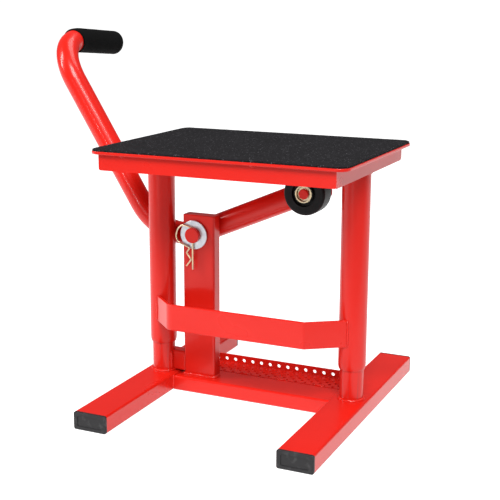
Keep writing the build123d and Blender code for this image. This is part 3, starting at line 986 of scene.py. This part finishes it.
@dataclass
class Lever:
    """The bent lever with its grip, pin, clip and axle."""

    finishes: Finishes
    pivot: Vector
    arm_angle: float = math.radians(23.3)
    handle_angle: float = math.radians(58.2)
    grip_droop: float = math.radians(4.0)
    bend_offset: float = 77.6 * MM
    handle_length: float = 353.3 * MM
    upper_bend: float = 67.3 * MM
    bend_cover: float = 0.16
    grip_end: float = 176.2 * MM
    grip_radius: float = 18.85 * MM
    tube_radius: float = 16.6 * MM
    end_round: float = 5.5 * MM
    end_dome: float = 1.2 * MM
    lip: float = 1.6 * MM
    swell: float = 0.22 * MM
    swell_pitch: float = 17 * MM
    grip_sides: int = 64
    ring_bead: float = 1.7 * MM
    plug_bead: float = 1.3 * MM

    def build(self) -> None:
        """Dresses the lever's nodes, makes its grip and lays its welds."""
        dress(["lever_tube", "arm_end_plug", "pivot_pin", "roller_axle"], self.finishes.coat)
        dress(["front_washer", "thrust_washer"], self.finishes.zinc)
        dress(["spring_clip", "axle_washer", "axle_retainer"], self.finishes.yellow)
        self.foam_grip()
        for name, node in (("pin_weld", "pivot_pin"), ("axle_weld", "roller_axle")):
            self.rear_ring(name, node)
        self.plug_weld()

    def grip_line(self) -> list[Vector]:
        """The grip's centre line: the last of the upper bend, then straight.

        Returns:
            Its points.
        """
        arm = Vector((math.cos(self.arm_angle), 0, math.sin(self.arm_angle)))
        rise = Vector((-math.cos(self.handle_angle), 0, math.sin(self.handle_angle)))
        out = Vector((0, math.cos(self.grip_droop), -math.sin(self.grip_droop)))
        corner = self.pivot - arm * self.bend_offset + rise * self.handle_length
        turn = rise.angle(out)
        toward = (out - rise).normalized()
        centre = corner + toward * (self.upper_bend / math.cos(turn / 2))
        arc_end = corner + out * self.upper_bend * math.tan(turn / 2)
        first = arc_end - centre
        curve = arc(centre, first, -out * self.upper_bend, turn * self.bend_cover, 0)
        return spaced([*curve, corner + out * self.grip_end], 1.6 * MM, False)

    def foam_grip(self) -> None:
        """The foam sleeve: a rolled lip, a slightly uneven body and a domed end."""
        line = self.grip_line()
        step = (line[1] - line[0]).length
        total = step * (len(line) - 1)
        places = [0.0, 0.3 * MM, 0.8 * MM, self.lip]
        places += [step * index for index in range(2, len(line) - 4)]
        for angle in range(0, 90, 10):
            places.append(total - self.end_round * (1 - math.sin(math.radians(angle))))
        path, radii = [], []
        for place in sorted(places):
            index = min(int(place / step), len(line) - 2)
            share = place / step - index
            path.append(line[index].lerp(line[index + 1], share))
            lip = min(1.0, place / self.lip)
            foam = (self.grip_radius - self.tube_radius) * math.sqrt(1 - (1 - lip) ** 2)
            radius = self.tube_radius + foam
            left = max(0.0, self.end_round - (total - place))
            radius -= self.end_round - math.sqrt(max(0.0, self.end_round**2 - left**2))
            radii.append(radius)
        sides = self.grip_sides
        skin = swept(path, radii, sides, False)
        tip = path[-1] + (path[-1] - path[-2]).normalized() * self.end_dome
        skin.faces.pop()
        last = len(skin.points) - sides
        skin.points.append(tip)
        for side in range(sides):
            skin.faces.append((last + side, last + (side + 1) % sides, len(skin.points) - 1))
        for point in skin.points:
            point += noise.noise_vector(point / self.swell_pitch) * self.swell
        piece = skin.piece("foam_grip", self.finishes.foam)
        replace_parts(mount(piece, Body.LEVER), "lever_grip")

    def rear_ring(self, name: str, node: str) -> None:
        """The weld ring where a pin comes out of the lever's rear wall.

        Args:
            name: The ring's name.
            node: The pin's node.
        """
        low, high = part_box(node)
        radius = (high.x - low.x) / 2
        crown = self.pivot.y + self.tube_radius
        centre = Vector(((low.x + high.x) / 2, crown, (low.z + high.z) / 2))
        along = Vector((math.cos(self.arm_angle), 0, math.sin(self.arm_angle)))
        across = Vector((-along.z, 0, along.x))
        ring = []
        for place in arc(Vector(), along * radius, across * radius, 0, 2 * math.pi)[:-1]:
            side = place.dot(across)
            drop = self.tube_radius - math.sqrt(self.tube_radius**2 - side**2)
            ring.append(centre + place - Vector((0, drop, 0)))
        WeldBead(name, ring, True, self.ring_bead).build(self.finishes.coat, Body.LEVER)

    def plug_weld(self) -> None:
        """The seam between the arm's end and its plug."""
        along = Vector((math.cos(self.arm_angle), 0, math.sin(self.arm_angle)))
        across = Vector((-along.z, 0, along.x))
        low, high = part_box("arm_end_plug")
        corner = Vector((low.x, self.pivot.y, high.z)) - self.pivot
        reach = corner.dot(along)
        centre = self.pivot + along * reach
        radius = self.tube_radius - 0.5 * MM
        ring = arc(centre, across * radius, Vector((0, radius, 0)), 0, 2 * math.pi)[:-1]
        WeldBead("plug_weld", ring, True, self.plug_bead).build(self.finishes.coat, Body.LEVER)


@dataclass
class Roller:
    """The wheel that lifts the platform, and its bush."""

    finishes: Finishes

    def build(self) -> None:
        """Dresses the roller's nodes."""
        dress(["roller_wheel"], self.finishes.wheel)
        dress(["roller_bush"], self.finishes.bush)


# ------------------------------------------------------------------ studio


@dataclass(frozen=True)
class SoftLight:
    """One square or oblong soft light, aimed at the stand."""

    name: str
    place: Place
    size: tuple[float, float]
    power: float

    def build(self, target: Vector) -> None:
        """Hangs the light.

        Args:
            target: The point that it faces.
        """
        lamp = bpy.data.lights.new(self.name, "AREA")
        lamp.shape = "RECTANGLE"
        lamp.size, lamp.size_y = self.size
        lamp.energy = self.power
        made = bpy.data.objects.new(self.name, lamp)
        made.location = self.place
        made.rotation_euler = (target - made.location).to_track_quat("-Z", "Y").to_euler()
        bpy.context.scene.collection.objects.link(made)


@dataclass
class Studio:
    """A pale floor, soft lights and the camera."""

    target: Vector = field(default_factory=lambda: Vector((-7.39 * MM, 0.0, 219.75 * MM)))
    azimuth: float = math.radians(24.46)
    elevation: float = math.radians(13.21)
    roll: float = math.radians(0.22)
    distance: float = 1.51822
    lens: float = 77.75
    sensor: float = 36.0
    floor_half: float = 400.0
    floor_gap: float = 0.5 * MM
    floor_pale: Colour = (0.36, 0.36, 0.36)
    floor_dim: Colour = (0.26, 0.26, 0.26)
    # painted light: the floor's glow, bright round the stand; the dim colour and glow ahead are
    # painted shade
    glow_pale: Colour = (1.02, 1.02, 1.02)
    glow_dim: Colour = (0.2, 0.2, 0.2)
    pale_until: float = 0.335
    dim_from: float = 0.7
    sky: Colour = (0.17, 0.17, 0.174)
    lights: tuple[SoftLight, ...] = (
        SoftLight("key_light", (1.0, -1.8, 2.7), (1.4, 1.4), 140.0),
        SoftLight("left_light", (-2.0, -0.9, 1.6), (0.4, 1.6), 48.0),
        SoftLight("front_strip", (-0.3, -2.4, 0.5), (0.07, 0.9), 7.0),
        SoftLight("top_light", (0.3, 0.9, 2.4), (1.6, 1.2), 30.0),
    )

    def build(self) -> None:
        """Sets up the whole studio."""
        self.camera()
        self.floor()
        self.world()
        for light in self.lights:
            light.build(self.target)

    def camera(self) -> None:
        """The camera, at the product view's angle."""
        sin_a, cos_a = math.sin(self.azimuth), math.cos(self.azimuth)
        sin_e, cos_e = math.sin(self.elevation), math.cos(self.elevation)
        back = Vector((sin_a * cos_e, -cos_a * cos_e, sin_e))
        level = Vector((cos_a, sin_a, 0.0))
        upright = back.cross(level)
        right = level * math.cos(self.roll) + upright * math.sin(self.roll)
        up = upright * math.cos(self.roll) - level * math.sin(self.roll)
        data = bpy.data.cameras.new("camera")
        data.lens, data.sensor_width = self.lens, self.sensor
        made = bpy.data.objects.new("camera", data)
        bpy.context.scene.collection.objects.link(made)
        turn = Matrix((right, up, back)).transposed().to_4x4()
        made.matrix_world = Matrix.Translation(self.target + back * self.distance) @ turn
        bpy.context.scene.camera = made

    def floor(self) -> None:
        """A wide pale floor with painted light: it glows round the stand, and painted shade dims
        its colour and glow in front of it.
        """
        graph = Graph("studio_floor")
        across, along = math.sin(self.azimuth), math.cos(self.azimuth)
        toward = graph.axis("X") * across - graph.axis("Y") * along
        # painted shade: the floor's colour and its painted glow fall off in front of the stand,
        # along the camera's azimuth
        painted_dim_ahead = graph.level(toward + 0.04 * graph.grain(0.5), self.pale_until, self.dim_from)
        material = graph.finish(
            Base_Color=graph.mix(painted_dim_ahead, self.floor_pale, self.floor_dim),
            Roughness=0.75,
            Emission_Color=graph.mix(painted_dim_ahead, self.glow_pale, self.glow_dim),
            Emission_Strength=1.0,
            Specular_IOR_Level=0.1,
        )
        signs = ((-1, -1), (1, -1), (1, 1), (-1, 1))
        corners = [Vector((x, y, 0.0)) * self.floor_half for x, y in signs]
        piece = Geometry(corners, [(0, 1, 2, 3)]).piece("studio_floor", material)
        piece.location.z = min(0.0, cad_box[0].z) - self.floor_gap

    def world(self) -> None:
        """Even light from all round."""
        world = bpy.data.worlds.new("studio_world")
        world.use_nodes = True
        background = world.node_tree.nodes["Background"]
        background.inputs["Color"].default_value = (*self.sky, 1.0)
        background.inputs["Strength"].default_value = 1.0
        bpy.context.scene.world = world
        bpy.context.scene.view_settings.view_transform = "Standard"


# ------------------------------------------------------------------ build


def joint_place(name: str) -> Vector:
    """The place of a joint in the CAD frame."""
    return Vector(next(j["pos_m"] for j in frame["joints"] if j["name"] == name))


def main() -> None:
    """Builds the stand and its studio."""
    logging.basicConfig(level=logging.INFO, format="%(message)s")
    noise.seed_set(NOISE_SEED)
    Studio().build()
    wheel_low, wheel_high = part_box("roller_wheel")
    finishes = Finishes(joint_place("roller_spin"), (wheel_high.x - wheel_low.x) / 2)
    lever = Lever(finishes, joint_place("lever_turn"))
    for assembly in (Base(finishes), Platform(finishes), lever, Roller(finishes)):
        assembly.build()


if __name__ == "__main__":
    main()
